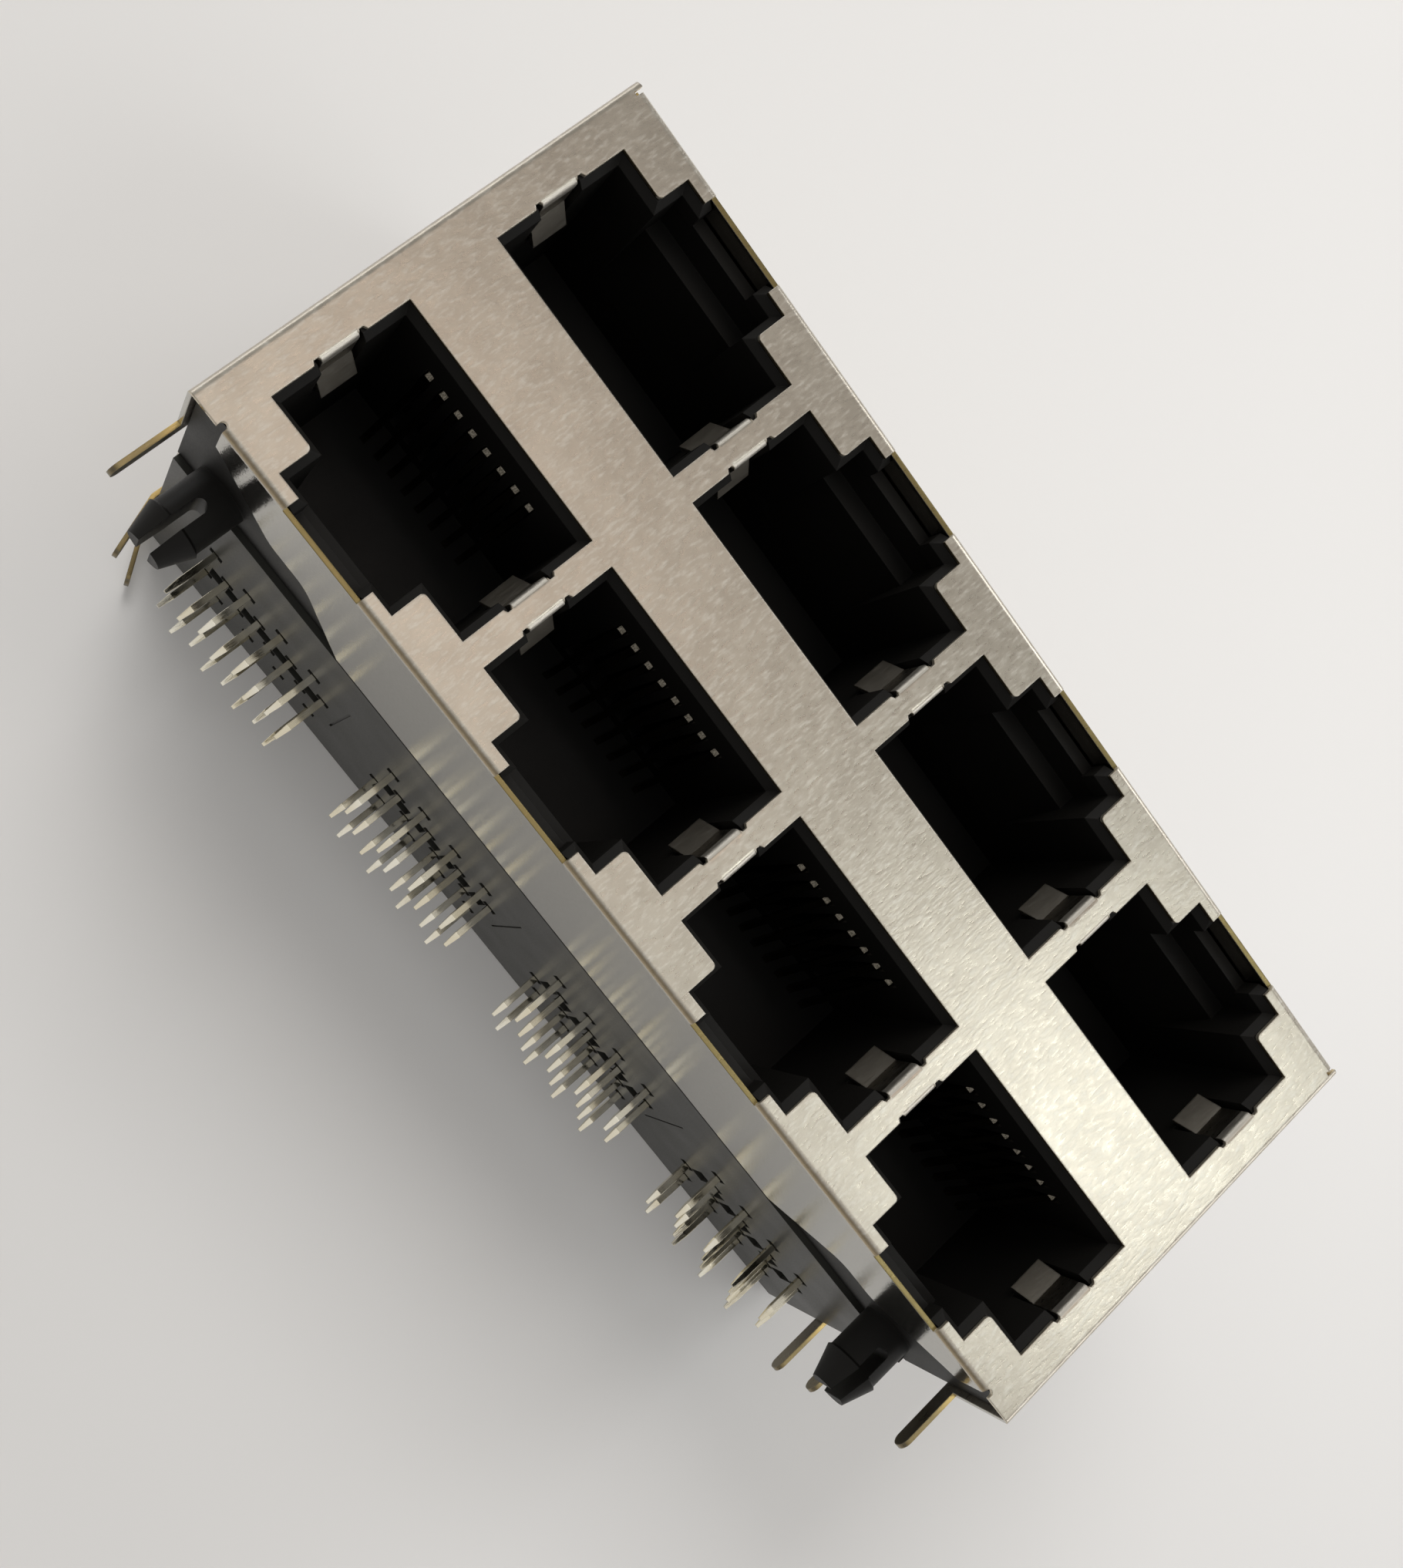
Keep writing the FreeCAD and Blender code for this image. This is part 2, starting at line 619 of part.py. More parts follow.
def spring_part(column, row, index):
    """Front of a strip: the run on the carrier, the nose and the spring that the plug presses down."""
    path = [
        (JOG_START, RUN_HEIGHT),
        (NOSE_FRONT + NOSE_SLOPE, RUN_HEIGHT),
        (NOSE_FRONT, NOSE_HEIGHT),
        (NOSE_FRONT + SPRING_FOOT_BACK, SPRING_FOOT),
        (SPRING_END, SPRING_RISE),
    ]
    return strip([(y, level(row, height)) for y, height in path], contact_x(column, index))


def jog_part(column, row, index):
    """Slanted part of a strip, from the contact pitch to the tail pitch."""
    near = contact_x(column, index)
    far = tail_place(column, row, index)[0]
    half = STRIP_WIDTH / 2
    z = level(row, RUN_HEIGHT) - STRIP_THICK / 2
    corners = [Vector(near - half, JOG_START, z), Vector(near + half, JOG_START, z),
               Vector(far + half, JOG_END, z), Vector(far - half, JOG_END, z)]
    return prism(corners, Vector(0, 0, STRIP_THICK))


def tail_tip(x, y):
    """Tapered end of a solder tail, narrowed on all four sides."""
    top = STRIP_TIP - TAIL_REACH
    x_way = Vector(1, 0, 0)
    y_way = Vector(0, 1, 0)
    wedges = []
    for half, across, along in ((STRIP_WIDTH / 2, x_way, y_way), (STRIP_THICK / 2, y_way, x_way)):
        end_half = half - STRIP_TIP_TAPER
        outline = ((-half, top), (half, top), (end_half, -TAIL_REACH), (-end_half, -TAIL_REACH))
        foot = Vector(x, y, 0) - along * BEYOND
        points = [foot + across * offset + Vector(0, 0, z) for offset, z in outline]
        wedges.append(prism(points, along * 2 * BEYOND))
    return wedges[0].common(wedges[1])


def tail_part(column, row, index):
    """Rear of a strip: it turns down behind the carrier and ends as a solder tail with a tapered tip."""
    x, y = tail_place(column, row, index)
    run = level(row, RUN_HEIGHT)
    straight = strip([(JOG_END, run), (y, run), (y, STRIP_TIP - TAIL_REACH)], x)
    return straight.fuse(tail_tip(x, y))


def contact_set(column, row):
    """The separate contact strips of one port."""
    strips = []
    for index in range(CONTACTS):
        parts = [jog_part(column, row, index), tail_part(column, row, index)]
        strips += spring_part(column, row, index).fuse(parts).removeSplitter().Solids
    return Part.makeCompound(strips)


# Carriers

def carrier_arm(column, row, end):
    """Arm in the housing's middle wall that the strips lie against."""
    x = column_x(column)
    return block((x - CARRIER_HALF, x + CARRIER_HALF), (COMB_FRONT + FIT, end),
                 (level(row, FIT / 2), level(row, STRIP_FLOOR)))


def upper_carrier(column):
    """Upper carrier: its arm ends in a leg in front of the upper ports' tails."""
    x = column_x(column)
    end = TAIL_FIRST_ROW + 2 * TAIL_ROW_STEP - STRIP_THICK / 2 - LEG_GAP
    leg = block((x - CARRIER_HALF, x + CARRIER_HALF), (end - CARRIER_LEG, end),
                (PLATE_TOP, level(UPPER, STRIP_FLOOR)))
    return carrier_arm(column, UPPER, end).fuse(leg).removeSplitter()


def lower_carrier(column):
    """Lower carrier: cheeks at both sides hold a leg between the two rows of tails."""
    x = column_x(column)
    last_row = TAIL_FIRST_ROW + TAIL_ROW_STEP
    end = last_row + STRIP_THICK / 2 + LEG_GAP
    pieces = []
    for side in (-1, 1):
        pieces.append(block((x + side * (CARRIER_HALF - FIT), x + side * CHEEK_HALF), (CHEEK_FRONT, end),
                            (PLATE_TOP, level(LOWER, FIT / 2))))
    leg_room = STRIP_THICK / 2 + LEG_GAP
    leg = (TAIL_FIRST_ROW + leg_room, last_row - leg_room)
    pieces.append(block((x - CARRIER_HALF, x + CARRIER_HALF), leg, (PLATE_TOP, level(LOWER, STRIP_ROOF))))
    return carrier_arm(column, LOWER, end).fuse(pieces).removeSplitter()


# Tail plate

def tail_plate():
    """Plate under the rear frame with a slot for every solder tail and a row of blind reliefs."""
    half = HOUSING_HALF - PLATE_SIDE_GAP
    plate = block((-half, half), (PLATE_FRONT, HOUSING_END), (0, PLATE_THICK))
    through = (-BEYOND, PLATE_THICK + BEYOND)
    slot_x = TAIL_SLOT_WIDTH / 2
    slot_y = TAIL_SLOT_DEPTH / 2
    cuts = []
    for column, row in ports():
        for index in range(CONTACTS):
            x, y = tail_place(column, row, index)
            cuts.append(block((x - slot_x, x + slot_x), (y - slot_y, y + slot_y), through))
    relief = (TAIL_FIRST_ROW + TAIL_ROW_STEP + slot_y + RELIEF_WEB,
              TAIL_FIRST_ROW + 2 * TAIL_ROW_STEP - slot_y - RELIEF_WEB)
    for column in range(COLUMNS):
        for index in range(CONTACTS - 1):
            x = tail_place(column, UPPER, index)[0] + TAIL_PITCH / 2
            cuts.append(block((x - RELIEF_WIDTH / 2, x + RELIEF_WIDTH / 2), relief, (-BEYOND, RELIEF_RISE)))
    for boundary in range(1, COLUMNS):
        middle = column_x(boundary - 0.5) + MARK_OFFSET
        mark = (middle - MARK_WIDTH / 2, middle + MARK_WIDTH / 2)
        cuts.append(block(mark, (MARK_FRONT, MARK_FRONT + MARK_LENGTH), (-BEYOND, MARK_DEPTH)))
    return plate.cut(cuts)


# Every piece by the name of its node

def pieces():
    """Finished shape of every node."""
    shapes = {
        "front_shell": front_shell(),
        "rear_shell": rear_shell(),
        "housing": housing(),
        "tail_plate": tail_plate(),
    }
    for column in range(COLUMNS):
        number = column + 1
        shapes[f"carrier_upper_{number}"] = upper_carrier(column)
        shapes[f"carrier_lower_{number}"] = lower_carrier(column)
        shapes[f"contacts_upper_{number}"] = contact_set(column, UPPER)
        shapes[f"contacts_lower_{number}"] = contact_set(column, LOWER)
    return shapes


os.makedirs("parts", exist_ok=True)
for name, shape in pieces().items():
    shape.translate(Vector(0, -PEG_Y, 0))
    shape.exportStep(f"parts/{name}.step")
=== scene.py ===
import math

import bpy
from mathutils import Matrix, Vector


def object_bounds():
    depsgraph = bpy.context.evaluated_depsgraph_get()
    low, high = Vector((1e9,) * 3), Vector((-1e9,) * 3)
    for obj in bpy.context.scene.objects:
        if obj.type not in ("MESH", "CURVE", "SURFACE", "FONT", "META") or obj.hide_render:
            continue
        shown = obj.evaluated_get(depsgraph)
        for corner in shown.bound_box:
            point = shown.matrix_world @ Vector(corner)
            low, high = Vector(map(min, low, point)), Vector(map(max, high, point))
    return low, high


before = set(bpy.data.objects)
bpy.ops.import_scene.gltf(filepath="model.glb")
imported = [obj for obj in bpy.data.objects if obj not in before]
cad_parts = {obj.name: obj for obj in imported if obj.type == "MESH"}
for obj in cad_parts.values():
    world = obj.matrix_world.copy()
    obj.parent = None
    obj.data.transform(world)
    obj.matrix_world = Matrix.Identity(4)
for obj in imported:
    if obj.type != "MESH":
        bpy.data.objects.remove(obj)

cad_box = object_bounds()

MM = 0.001
WHITE = (1.0, 1.0, 1.0)

# Sheet of the shell, as the solids have it
FRONT_Y = cad_box[0].y
SHELL_HALF = cad_box[1].x
SHELL_TOP = cad_box[1].z
SHEET = 0.25 * MM
FINGER_STRAIGHT = 2.4 * MM
PORT_PITCH = 13.97 * MM
NOTCH_HALF = 2.39 * MM

# Depths between which a contact strip turns from a gilt spring to a tinned tail
SPRING_END = FRONT_Y + 10 * MM
TAIL_START = FRONT_Y + 14 * MM

# How squarely a face looks along an axis: 1 is straight along it, 0 is edge on
SQUARE = 0.9
HALFWAY = 0.5
EDGE_ON = 0.2
BARELY = 0.1

# Parts of the normal, downwards and to the front, between which the brown line on a fold sets in
FOLD_LINE_DOWN = (-0.35, -0.6)
FOLD_LINE_FRONT = (-0.2, -0.5)

# Middle of the range that a noise runs over
NOISE_MIDDLE = (0.35, 0.65)

# Plating: colours of the flat sheet, of its underside as a painted reflection, and of its edges, pins and
# fingers, with painted highlights and painted shade among them
PLATING_DARK = (0.48, 0.44, 0.375)
PLATING_LIGHT = (0.53, 0.49, 0.42)
# Brush marks: a lighter grain tone, partly real marks and partly a painted glint
BRUSH_MARK_GLINT = (0.71, 0.69, 0.63)
# Underside: a greyer copy of the plating, painted to stand in for the pale table that the underside mirrors
UNDERSIDE_REFLECTION_DARK = (0.45, 0.44, 0.40)
UNDERSIDE_REFLECTION_LIGHT = (0.54, 0.53, 0.49)
# Brown line on the bends that face down and to the front
BROWN_FOLD_LINE = (0.42, 0.32, 0.18)
CUT_EDGE = (0.64, 0.48, 0.20)
NOTCH_EDGE = (0.25, 0.20, 0.09)
# Pins below the board: plating darkened to a dark bronze as painted shade
PIN_PAINTED_SHADE = (0.17, 0.145, 0.09)
# Window edges: brass of the cut edge, lightened as a painted highlight
WINDOW_EDGE_HIGHLIGHT = (0.66, 0.54, 0.30)
# Finger folds: a near-white painted highlight on the bends into the ports
FINGER_FOLD_HIGHLIGHT = (0.86, 0.83, 0.76)
# Finger tips deep in the ports: plating darkened as painted shade
FINGER_TIP_SHADE = (0.30, 0.28, 0.245)

# Plating: grains in a metre, their shares and ranges, and its roughness, relief and edges
MOTTLE_SCALE = 700
SPECKLE_SCALE = 4200
SPECKLE_SHARE = 0.2
BRUSH_SCALE = 1000
BRUSH_STRETCH = (0.18, 0.18, 0.6)
BRUSH_SHARE = 1.3
GRAIN_RANGE = (0.45, 1.05)
MARK_RANGE = (0.76, 1.05)
MARK_MOST = 0.6
UNDERSIDE_REFLECTION_RANGE = (0.35, 0.7)
PLATING_ROUGHNESS = (0.25, 0.36)
SMOOTH_FACE = 0.19
ROUGH_FINGER = 0.2
PLATING_RELIEF = 0.007 * MM
PLATING_EDGE = 0.10 * MM

# Plastics: darkest and lightest colour, least and most roughness, and grain
BLACK = ((0.0068, 0.0064, 0.0058), (0.0105, 0.010, 0.0092))
BLACK_ROUGHNESS = (0.42, 0.54)
GREY = ((0.030, 0.030, 0.027), (0.046, 0.046, 0.041))
GREY_ROUGHNESS = (0.30, 0.42)
PLASTIC_SPECULAR = 0.16
MOULD_SCALE = 9000
FLOW_SCALE = 260
PLASTIC_RELIEF = 0.003 * MM
HOUSING_EDGE = 0.06 * MM
SMALL_EDGE = 0.05 * MM

# Contact metal: tin, and gilt darkened as painted shade of the ports
TIN_DARK = (0.80, 0.74, 0.58)
TIN_LIGHT = (0.90, 0.87, 0.76)
SHADED_GILT_DARK = (0.14, 0.128, 0.10)
SHADED_GILT_LIGHT = (0.40, 0.365, 0.305)
PATCH_SCALE = 500
DRAWN_SCALE = 5000
DRAWN_STRETCH = (0.3, 0.3, 2.0)
CONTACT_ROUGHNESS = (0.06, 0.13)
CONTACT_RELIEF = 0.001 * MM

# Stage: a pale surface that glows towards the right of the photograph and far from the part
STAGE_SIZE = 3.0
TABLE_GAP = 0.1 * MM
PALE = (0.675, 0.67, 0.668)
PALE_ROUGHNESS = 0.7
PALE_SPECULAR = 0.1
GLOW = 0.20
GLOW_WAY = (0.64, 0.77)
GLOW_REACH = 60 * MM
GLOW_FALL = 0.6
FAR_GLOW = 0.42
FAR_START = 0.12
FAR_END = 0.7

# Foot of the table's opening, out of sight behind the part, so that the rear cover mirrors the studio
OPENING_FOOT = 0.4 * MM

# Lamps: way from the part, distance, width and height in metres, power in watts, and colour
LAMPS = {
    "main": ((-0.48, -0.79, 0.38), 0.5, (0.22, 0.22), 1.15, (1.0, 0.98, 0.95)),
    "glint": ((0.45, -0.84, 0.31), 0.43, (0.09, 0.09), 0.11, (0.95, 1.0, 0.97)),
    "panel": ((-0.09, -0.955, 0.245), 0.43, (0.20, 0.09), 0.053, (1.0, 0.79, 0.67)),
    "low": ((0.05, -0.99, 0.09), 0.43, (0.34, 0.03), 0.036, (1.0, 1.0, 0.96)),
    "left": ((-0.93, -0.20, 0.30), 0.5, (0.15, 0.30), 0.22, WHITE),
    "right": ((0.90, -0.35, 0.30), 0.5, (0.15, 0.30), 0.3, WHITE),
    "top": ((0.20, -0.50, 0.85), 0.5, (0.20, 0.20), 0.4, WHITE),
    "rim": ((-0.20, 0.55, 0.80), 0.5, (0.25, 0.25), 0.5, WHITE),
}

# World: its colour, its strength by direction, and the parts of the direction between which that fades
WORLD_COLOUR = (0.40, 0.39, 0.375)
HORIZON_STRENGTH = 1.8
HORIZON_FADE = (0.06, 0.22)
BEHIND_STRENGTH = 1.9
FRONT_FADE = (-0.35, 0.0)
LOW_GAIN = 0.7
LOW_FADE = (-0.2, -0.06)
NADIR_GAIN = -0.25
NADIR_FADE = (-0.65, -0.2)

# Camera, fitted to the photograph: it looks up at the ports from below and from the left
PHOTO_WIDTH = 1820
PHOTO_HEIGHT = 2034
CAMERA_PLACE = Vector((-17.79, -88.33, -17.78)) * MM
CAMERA_TARGET = Vector((-0.24, -9.50, 7.91)) * MM
CAMERA_ROLL = 48.85
FOCAL_PIXELS = 2456.6
AXIS_PIXEL = (981.3, 1073.2)
SENSOR = 36.0
CLIP_START = 1 * MM


# Node helpers

class Graph:
    """Node tree of a material or a world, with short calls for adding and joining nodes."""

    def __init__(self, block, shader="Principled BSDF"):
        block.use_nodes = True
        self.block = block
        self.tree = block.node_tree
        self.shader = self.tree.nodes[shader]

    def add(self, kind, **settings):
        """New node with its settings."""
        node = self.tree.nodes.new(kind)
        for name, value in settings.items():
            setattr(node, name, value)
        return node

    def feed(self, socket, value):
        """Join an output to a socket, or set the socket to a constant."""
        if isinstance(value, bpy.types.NodeSocket):
            self.tree.links.new(value, socket)
        else:
            socket.default_value = value

    def maths(self, operation, *values):
        """Result of a math node."""
        node = self.add("ShaderNodeMath", operation=operation)
        for socket, value in zip(node.inputs, values):
            self.feed(socket, value)
        return node.outputs["Value"]

    def size(self, value):
        """Value without its sign."""
        return self.maths("ABSOLUTE", value)

    def over(self, value, limit):
        """1 where the value is over the limit."""
        return self.maths("GREATER_THAN", value, limit)

    def under(self, value, limit):
        """1 where the value is under the limit."""
        return self.maths("LESS_THAN", value, limit)

    def times(self, first, *others):
        """Product, which for masks is 1 where all of them are 1."""
        for other in others:
            first = self.maths("MULTIPLY", first, other)
        return first

    def noise(self, scale, detail=2.0, roughness=0.5, stretch=(1, 1, 1)):
        """Noise in the part's own metres, its grain about 1/scale across, stretched along the axes."""
        place = self.add("ShaderNodeTexCoord").outputs["Object"]
        mapping = self.add("ShaderNodeMapping")
        self.feed(mapping.inputs["Vector"], place)
        mapping.inputs["Scale"].default_value = [scale / part for part in stretch]
        node = self.add("ShaderNodeTexNoise")
        self.feed(node.inputs["Vector"], mapping.outputs["Vector"])
        node.inputs["Scale"].default_value = 1.0
        node.inputs["Detail"].default_value = detail
        node.inputs["Roughness"].default_value = roughness
        return node.outputs["Fac"]

    def span(self, value, low, high, start=0.0, end=1.0):
        """Value mapped from the range between start and end to that between low and high, and kept there."""
        node = self.add("ShaderNodeMapRange")
        limits = {"Value": value, "From Min": start, "From Max": end, "To Min": low, "To Max": high}
        for name, setting in limits.items():
            self.feed(node.inputs[name], setting)
        return node.outputs["Result"]

    def blend(self, share, first, second):
        """Colour between two colours."""
        node = self.add("ShaderNodeMix", data_type="RGBA")
        self.feed(node.inputs["Factor"], share)
        for socket, value in ((node.inputs[6], first), (node.inputs[7], second)):
            self.feed(socket, value if isinstance(value, bpy.types.NodeSocket) else (*value, 1.0))
        return node.outputs[2]

    def surface(self, output):
        """Output of the surface's geometry."""
        return self.add("ShaderNodeNewGeometry").outputs[output]

    def split(self, vector):
        """The three parts of a vector."""
        node = self.add("ShaderNodeSeparateXYZ")
        self.feed(node.inputs["Vector"], vector)
        return [node.outputs[axis] for axis in "XYZ"]

    def relief(self, height, distance, edge_radius):
        """Bump over softly rounded edges, joined to the shader."""
        edges = self.add("ShaderNodeBevel", samples=4)
        self.feed(edges.inputs["Radius"], edge_radius)
        bump = self.add("ShaderNodeBump")
        bump.inputs["Distance"].default_value = distance
        self.feed(bump.inputs["Height"], height)
        self.feed(bump.inputs["Normal"], edges.outputs["Normal"])
        self.feed(self.shader.inputs["Normal"], bump.outputs["Normal"])

    def set(self, **sockets):
        """Shader inputs by name, with underscores for spaces."""
        for name, value in sockets.items():
            self.feed(self.shader.inputs[name.replace("_", " ")], value)


# Materials

def sheet_masks(graph):
    """Masks of the shell's sheet: cut edges, the brown fold line, pins, spring fingers and smooth faces."""
    x, y, z = graph.split(graph.surface("Position"))
    normal_x, normal_y, normal_z = graph.split(graph.surface("True Normal"))
    facing_side = graph.size(normal_x)
    facing_front = graph.size(normal_y)
    facing_down = graph.under(normal_z, -SQUARE)
    in_plate = graph.under(y, FRONT_Y + 1.05 * SHEET)
    behind_plate = graph.over(y, FRONT_Y + 1.5 * SHEET)
    past_knee = graph.over(y, FRONT_Y + FINGER_STRAIGHT)
    in_fold = graph.times(graph.over(y, FRONT_Y + 0.1 * SHEET), graph.under(y, FRONT_Y + 3 * SHEET))
    inside = graph.under(graph.size(x), SHELL_HALF - 4 * SHEET)
    near_board = graph.under(z, SHEET / 2)
    near_top = graph.over(z, SHELL_TOP - 2 * SHEET)
    off_middle = graph.size(graph.maths("SUBTRACT", z, SHELL_TOP / 2))
    at_panels = graph.over(off_middle, SHELL_TOP / 2 - 1.3 * SHEET)
    in_column = graph.maths("WRAP", x, PORT_PITCH, 0.0)
    off_centre = graph.size(graph.maths("SUBTRACT", in_column, PORT_PITCH / 2))
    in_notch = graph.under(off_centre, NOTCH_HALF)
    turned_down = graph.span(normal_z, 0.0, 1.0, *FOLD_LINE_DOWN)
    turned_front = graph.span(normal_y, 0.0, 1.0, *FOLD_LINE_FRONT)
    return {
        "fold_ends": graph.times(behind_plate, graph.over(facing_front, SQUARE)),
        "pins": graph.span(z, 0.0, 1.0, -SHEET, -6 * SHEET),
        "notch_ends": graph.times(at_panels, in_notch, graph.over(facing_front, HALFWAY)),
        "window_edges": graph.times(in_plate, graph.under(facing_front, EDGE_ON)),
        "brown_fold_line": graph.times(turned_down, turned_front),
        "finger_folds": graph.times(in_fold, inside, graph.over(facing_side, BARELY)),
        "tips": graph.times(past_knee, inside, graph.over(facing_side, HALFWAY)),
        "underside": graph.times(near_board, facing_down),
        "ceiling": graph.times(near_top, facing_down),
    }


def plated_sheet(name, with_edges):
    """Satin tin plating: mottled, finely speckled, with short upright brush marks whose lighter tone is
    partly grain and partly a painted glint.
    """
    graph = Graph(bpy.data.materials.new(name))
    mottle = graph.noise(MOTTLE_SCALE, detail=3.0)
    speckle = graph.noise(SPECKLE_SCALE, roughness=0.7)
    brushing = graph.noise(BRUSH_SCALE, detail=3.0, roughness=0.6, stretch=BRUSH_STRETCH)
    grain = graph.maths("ADD", graph.times(brushing, BRUSH_SHARE), graph.times(speckle, SPECKLE_SHARE))
    tone = graph.blend(graph.span(mottle, 0.0, 1.0, *NOISE_MIDDLE), PLATING_DARK, PLATING_LIGHT)
    tone = graph.blend(graph.span(grain, 0.0, MARK_MOST, *MARK_RANGE), tone, BRUSH_MARK_GLINT)
    roughness = graph.span(grain, *PLATING_ROUGHNESS, *GRAIN_RANGE)
    if with_edges:
        masks = sheet_masks(graph)
        # Underside: greyer copy of the plating, a painted reflection of the pale table
        underside_reflection = graph.blend(graph.span(brushing, 0.0, 1.0, *UNDERSIDE_REFLECTION_RANGE), UNDERSIDE_REFLECTION_DARK, UNDERSIDE_REFLECTION_LIGHT)
        # Colours laid over the plating by mask; the underside, pins, window edges, finger folds and finger
        # tips carry painted reflection, highlight and shade
        shades = (
            ("underside", 0.8, underside_reflection),
            ("brown_fold_line", 0.7, BROWN_FOLD_LINE),
            ("fold_ends", 1.0, CUT_EDGE),
            ("notch_ends", 1.0, NOTCH_EDGE),
            ("pins", 0.75, PIN_PAINTED_SHADE),
            ("window_edges", 0.6, WINDOW_EDGE_HIGHLIGHT),
            ("finger_folds", 0.6, FINGER_FOLD_HIGHLIGHT),
            ("tips", 0.65, FINGER_TIP_SHADE),
        )
        for mask, share, colour in shades:
            tone = graph.blend(graph.times(masks[mask], share), tone, colour)
        smooth = graph.maths("MAXIMUM", masks["ceiling"], masks["underside"])
        roughness = graph.maths("SUBTRACT", roughness, graph.times(smooth, SMOOTH_FACE))
        rough = graph.maths("MAXIMUM", masks["finger_folds"], masks["tips"])
        roughness = graph.maths("ADD", roughness, graph.times(rough, ROUGH_FINGER))
    graph.set(Base_Color=tone, Metallic=1.0, Roughness=roughness)
    graph.relief(grain, PLATING_RELIEF, PLATING_EDGE)
    return graph.block


def moulded_plastic(name, colours, roughness, edge_radius):
    """Moulded plastic with a fine spark-eroded grain and faint flow marks."""
    graph = Graph(bpy.data.materials.new(name))
    grain = graph.noise(MOULD_SCALE, detail=3.0, roughness=0.6)
    flow = graph.noise(FLOW_SCALE)
    wear = graph.maths("ADD", graph.times(grain, 0.5), graph.times(flow, 0.5))
    graph.set(Base_Color=graph.blend(flow, *colours))
    graph.set(Roughness=graph.span(wear, *roughness, *NOISE_MIDDLE))
    graph.set(Specular_IOR_Level=PLASTIC_SPECULAR)
    graph.relief(grain, PLASTIC_RELIEF, edge_radius)
    return graph.block


def contact_strip(name):
    """Contact metal: gilded springs in the ports, darkened as painted shade, and bright uneven tin on the
    tails.
    """
    graph = Graph(bpy.data.materials.new(name))
    patches = graph.noise(PATCH_SCALE)
    drawn = graph.noise(DRAWN_SCALE, stretch=DRAWN_STRETCH)
    depth = graph.split(graph.surface("Position"))[1]
    tail = graph.span(depth, 0.0, 1.0, SPRING_END, TAIL_START)
    tin = graph.blend(graph.span(patches, 0.0, 1.0, *NOISE_MIDDLE), TIN_DARK, TIN_LIGHT)
    # Springs: gilt darkened as painted shade of the dark ports
    shaded_gilt = graph.blend(graph.span(drawn, 0.0, 1.0, *NOISE_MIDDLE), SHADED_GILT_DARK, SHADED_GILT_LIGHT)
    graph.set(Base_Color=graph.blend(tail, shaded_gilt, tin), Metallic=1.0)
    graph.set(Roughness=graph.span(drawn, *CONTACT_ROUGHNESS, *NOISE_MIDDLE))
    graph.relief(drawn, CONTACT_RELIEF, SMALL_EDGE)
    return graph.block


def dress():
    """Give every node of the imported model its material, through its object's material slots."""
    materials = {
        "front_shell": plated_sheet("front_shell_plating", True),
        "rear_shell": plated_sheet("rear_shell_plating", False),
        "housing": moulded_plastic("black_housing", BLACK, BLACK_ROUGHNESS, HOUSING_EDGE),
        "tail_plate": moulded_plastic("grey_plate", GREY, GREY_ROUGHNESS, SMALL_EDGE),
        "carrier": moulded_plastic("carrier_plastic", BLACK, BLACK_ROUGHNESS, SMALL_EDGE),
        "contacts": contact_strip("contact_strips"),
    }
    for name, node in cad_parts.items():
        start = next(start for start in materials if name.startswith(start))
        for slot in node.material_slots:
            slot.link = "OBJECT"
            slot.material = materials[start]


# Stage, light and camera

def stage_glow(graph):
    """Glow of the stage, seen by the camera and in mirroring surfaces, which lights no matt surface."""
    place = graph.surface("Position")
    x, _, z = graph.split(place)
    way_x, way_z = GLOW_WAY
    across = graph.maths("ADD", graph.times(x, way_x), graph.times(z, way_z))
    down = graph.maths("SUBTRACT", graph.times(x, way_z), graph.times(z, way_x))
    near = graph.times(graph.span(across, 0.0, GLOW, -GLOW_REACH, GLOW_REACH),
                       graph.span(graph.size(down), 1.0, GLOW_FALL, 0.0, GLOW_REACH))
    away = graph.add("ShaderNodeVectorMath", operation="LENGTH")
    graph.feed(away.inputs["Vector"], place)
    far = graph.span(away.outputs["Value"], 0.0, FAR_GLOW, FAR_START, FAR_END)
    path = graph.add("ShaderNodeLightPath").outputs
    mirrored = graph.maths("MAXIMUM", path["Is Glossy Ray"], path["Is Transmission Ray"])
    seen = graph.maths("MAXIMUM", path["Is Camera Ray"], mirrored)
    return graph.times(graph.maths("ADD", near, far), seen)


def stage_material(name):
    """Pale matt surface that shows from its front only, so that a view from behind looks through it."""
    graph = Graph(bpy.data.materials.new(name))
    graph.set(Base_Color=(*PALE, 1.0), Roughness=PALE_ROUGHNESS, Specular_IOR_Level=PALE_SPECULAR)
    graph.set(Emission_Color=(*PALE, 1.0), Emission_Strength=stage_glow(graph))
    mix = graph.add("ShaderNodeMixShader")
    graph.feed(mix.inputs["Fac"], graph.surface("Backfacing"))
    graph.feed(mix.inputs[1], graph.shader.outputs["BSDF"])
    graph.feed(mix.inputs[2], graph.add("ShaderNodeBsdfTransparent").outputs["BSDF"])
    graph.feed(graph.tree.nodes["Material Output"].inputs["Surface"], mix.outputs["Shader"])
    return graph.block


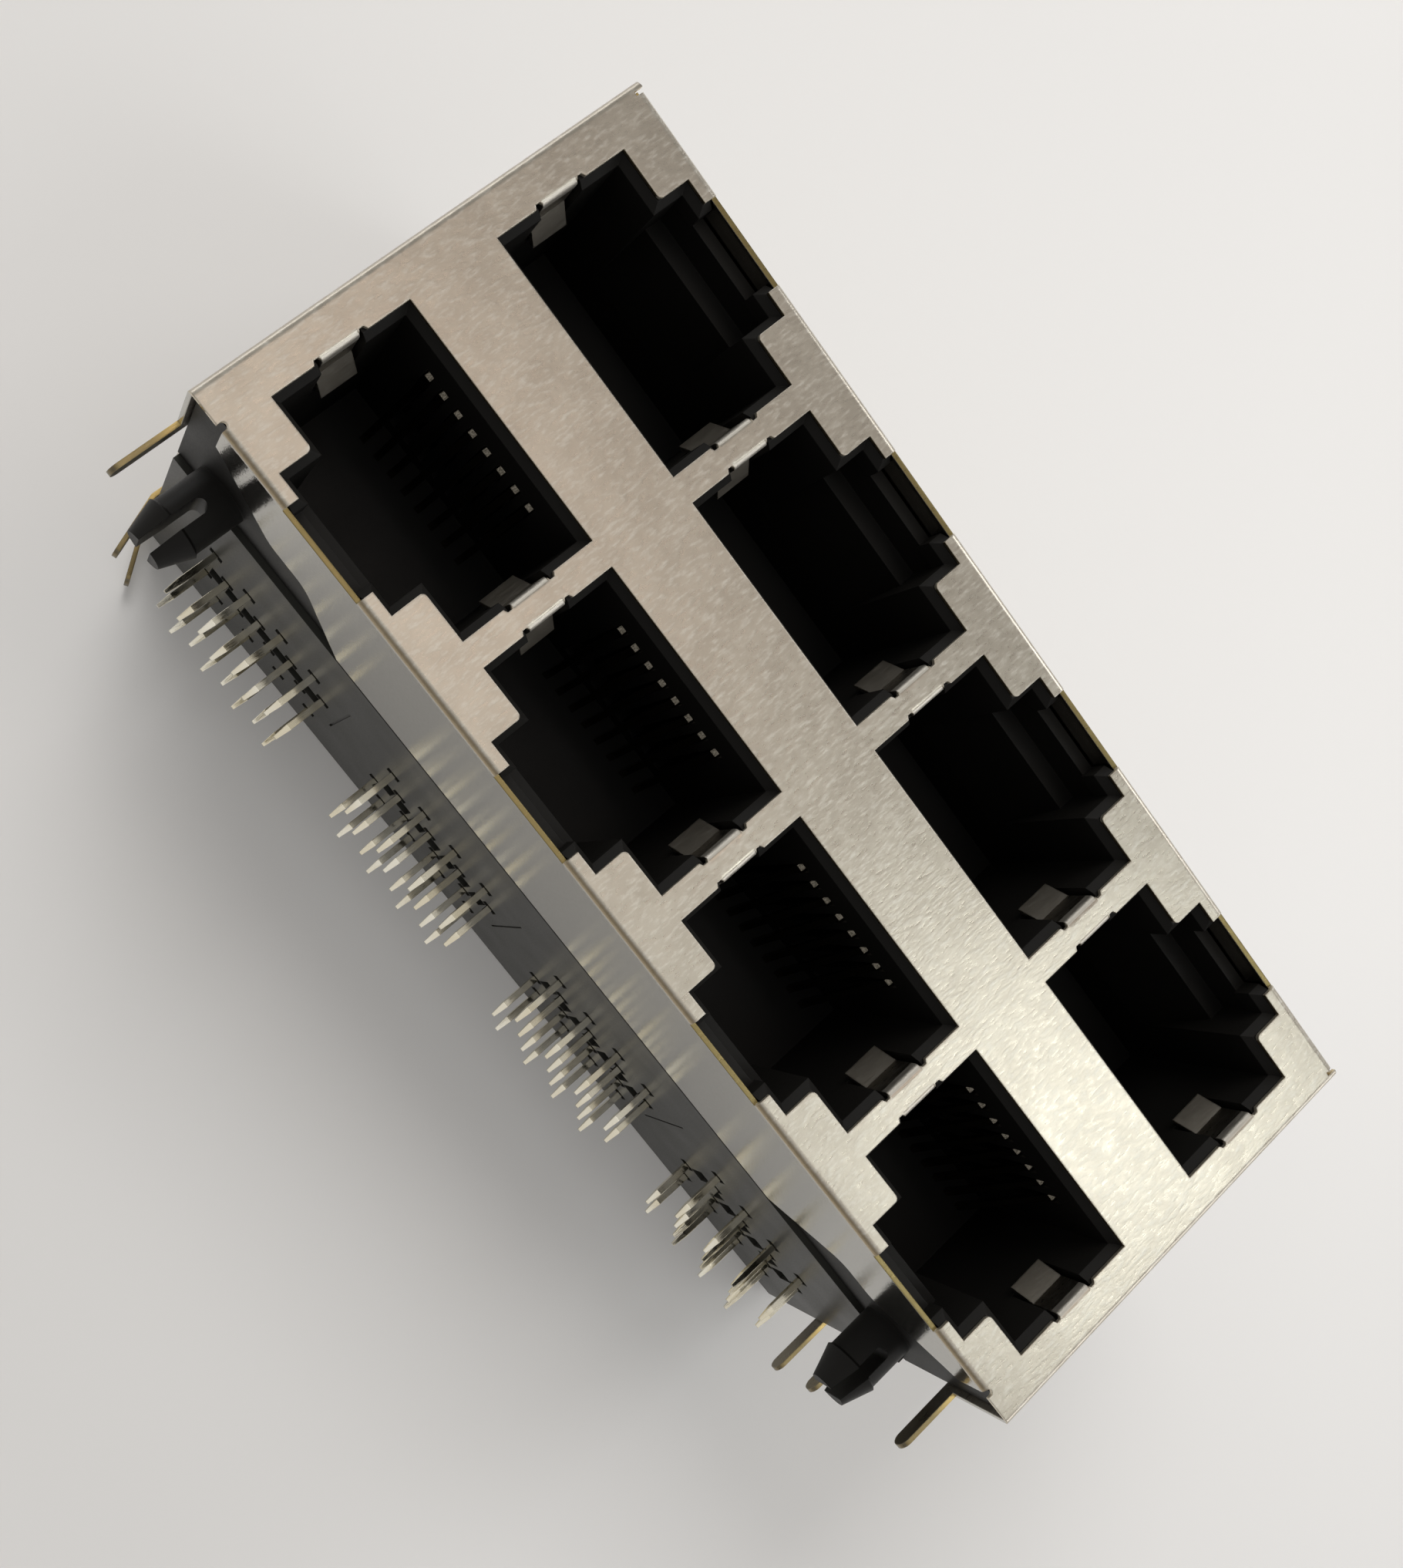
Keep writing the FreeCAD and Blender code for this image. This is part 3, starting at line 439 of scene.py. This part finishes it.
def stage_plane(name, hole, place, turn, material):
    """Large plane with a rectangular hole that takes shadows and lights nothing."""
    half = STAGE_SIZE / 2
    outer = [(-half, -half), (half, -half), (half, half), (-half, half)]
    (left, low), (right, high) = hole
    inner = [(left, low), (right, low), (right, high), (left, high)]
    corners = [(x, y, 0) for x, y in outer + inner]
    faces = [(side, (side + 1) % 4, 4 + (side + 1) % 4, 4 + side) for side in range(4)]
    mesh = bpy.data.meshes.new(name)
    mesh.from_pydata(corners, [], faces)
    mesh.materials.append(material)
    plane = bpy.data.objects.new(name, mesh)
    plane.matrix_world = Matrix.Translation(place) @ turn
    plane.visible_diffuse = False
    plane.visible_transmission = False
    plane.visible_shadow = False
    bpy.context.scene.collection.objects.link(plane)
    return plane


def build_stage():
    """A floor under the pegs, and the table that the photographed part lies on with its back."""
    material = stage_material("pale_stage")
    low, high = cad_box
    no_hole = ((0, 0), (0, 0))
    floor = stage_plane("floor", no_hole, Vector((0, 0, low.z)), Matrix.Identity(4), material)
    floor.visible_glossy = False
    opening = ((low.x, OPENING_FOOT), (high.x, high.z))
    upright = Matrix.Rotation(math.radians(90), 4, "X")
    stage_plane("table", opening, Vector((0, high.y + TABLE_GAP, 0)), upright, material)


def soft_lamp(name, way, distance, size, power, colour):
    """Rectangular lamp that shines at the middle of the part from a direction."""
    middle = (cad_box[0] + cad_box[1]) / 2
    data = bpy.data.lights.new(name, "AREA")
    data.shape = "RECTANGLE"
    data.size, data.size_y = size
    data.energy = power
    data.color = colour
    lamp = bpy.data.objects.new(name, data)
    lamp.location = middle + Vector(way).normalized() * distance
    lamp.rotation_mode = "QUATERNION"
    lamp.rotation_quaternion = (middle - lamp.location).to_track_quat("-Z", "Y")
    bpy.context.scene.collection.objects.link(lamp)
    return lamp


def build_light():
    """All lamps, with the main one kept out of the metal's reflections."""
    lamps = {name: soft_lamp(name, *settings) for name, settings in LAMPS.items()}
    lamps["main"].visible_glossy = False


def build_world():
    """Even world, paler at the horizon, brighter behind the part, and graded below its front."""
    graph = Graph(bpy.data.worlds.new("studio"), "Background")
    _, y, z = graph.split(graph.add("ShaderNodeTexCoord").outputs["Generated"])
    level = graph.span(graph.size(z), HORIZON_STRENGTH, 1.0, *HORIZON_FADE)
    behind = graph.span(y, 1.0, BEHIND_STRENGTH)
    ahead = graph.span(y, 1.0, 0.0, *FRONT_FADE)
    below = graph.times(graph.span(z, NADIR_GAIN, LOW_GAIN, *NADIR_FADE),
                        graph.span(z, 1.0, 0.0, *LOW_FADE))
    strength = graph.maths("ADD", graph.times(level, behind), graph.times(ahead, below))
    graph.set(Color=(*WORLD_COLOUR, 1.0), Strength=strength)
    bpy.context.scene.world = graph.block


def build_camera():
    """Camera with the photograph's place, angle and framing."""
    data = bpy.data.cameras.new("camera")
    longest = max(PHOTO_WIDTH, PHOTO_HEIGHT)
    data.sensor_width = SENSOR
    data.lens = FOCAL_PIXELS / longest * SENSOR
    data.shift_x = (PHOTO_WIDTH / 2 - AXIS_PIXEL[0]) / longest
    data.shift_y = (AXIS_PIXEL[1] - PHOTO_HEIGHT / 2) / longest
    data.clip_start = CLIP_START
    camera = bpy.data.objects.new("camera", data)
    level = (CAMERA_TARGET - CAMERA_PLACE).to_track_quat("-Z", "Y").to_matrix().to_4x4()
    roll = Matrix.Rotation(math.radians(CAMERA_ROLL), 4, "Z")
    camera.matrix_world = Matrix.Translation(CAMERA_PLACE) @ level @ roll
    bpy.context.scene.collection.objects.link(camera)
    bpy.context.scene.camera = camera


dress()
build_stage()
build_light()
build_world()
build_camera()
bpy.context.scene.view_settings.view_transform = "Standard"
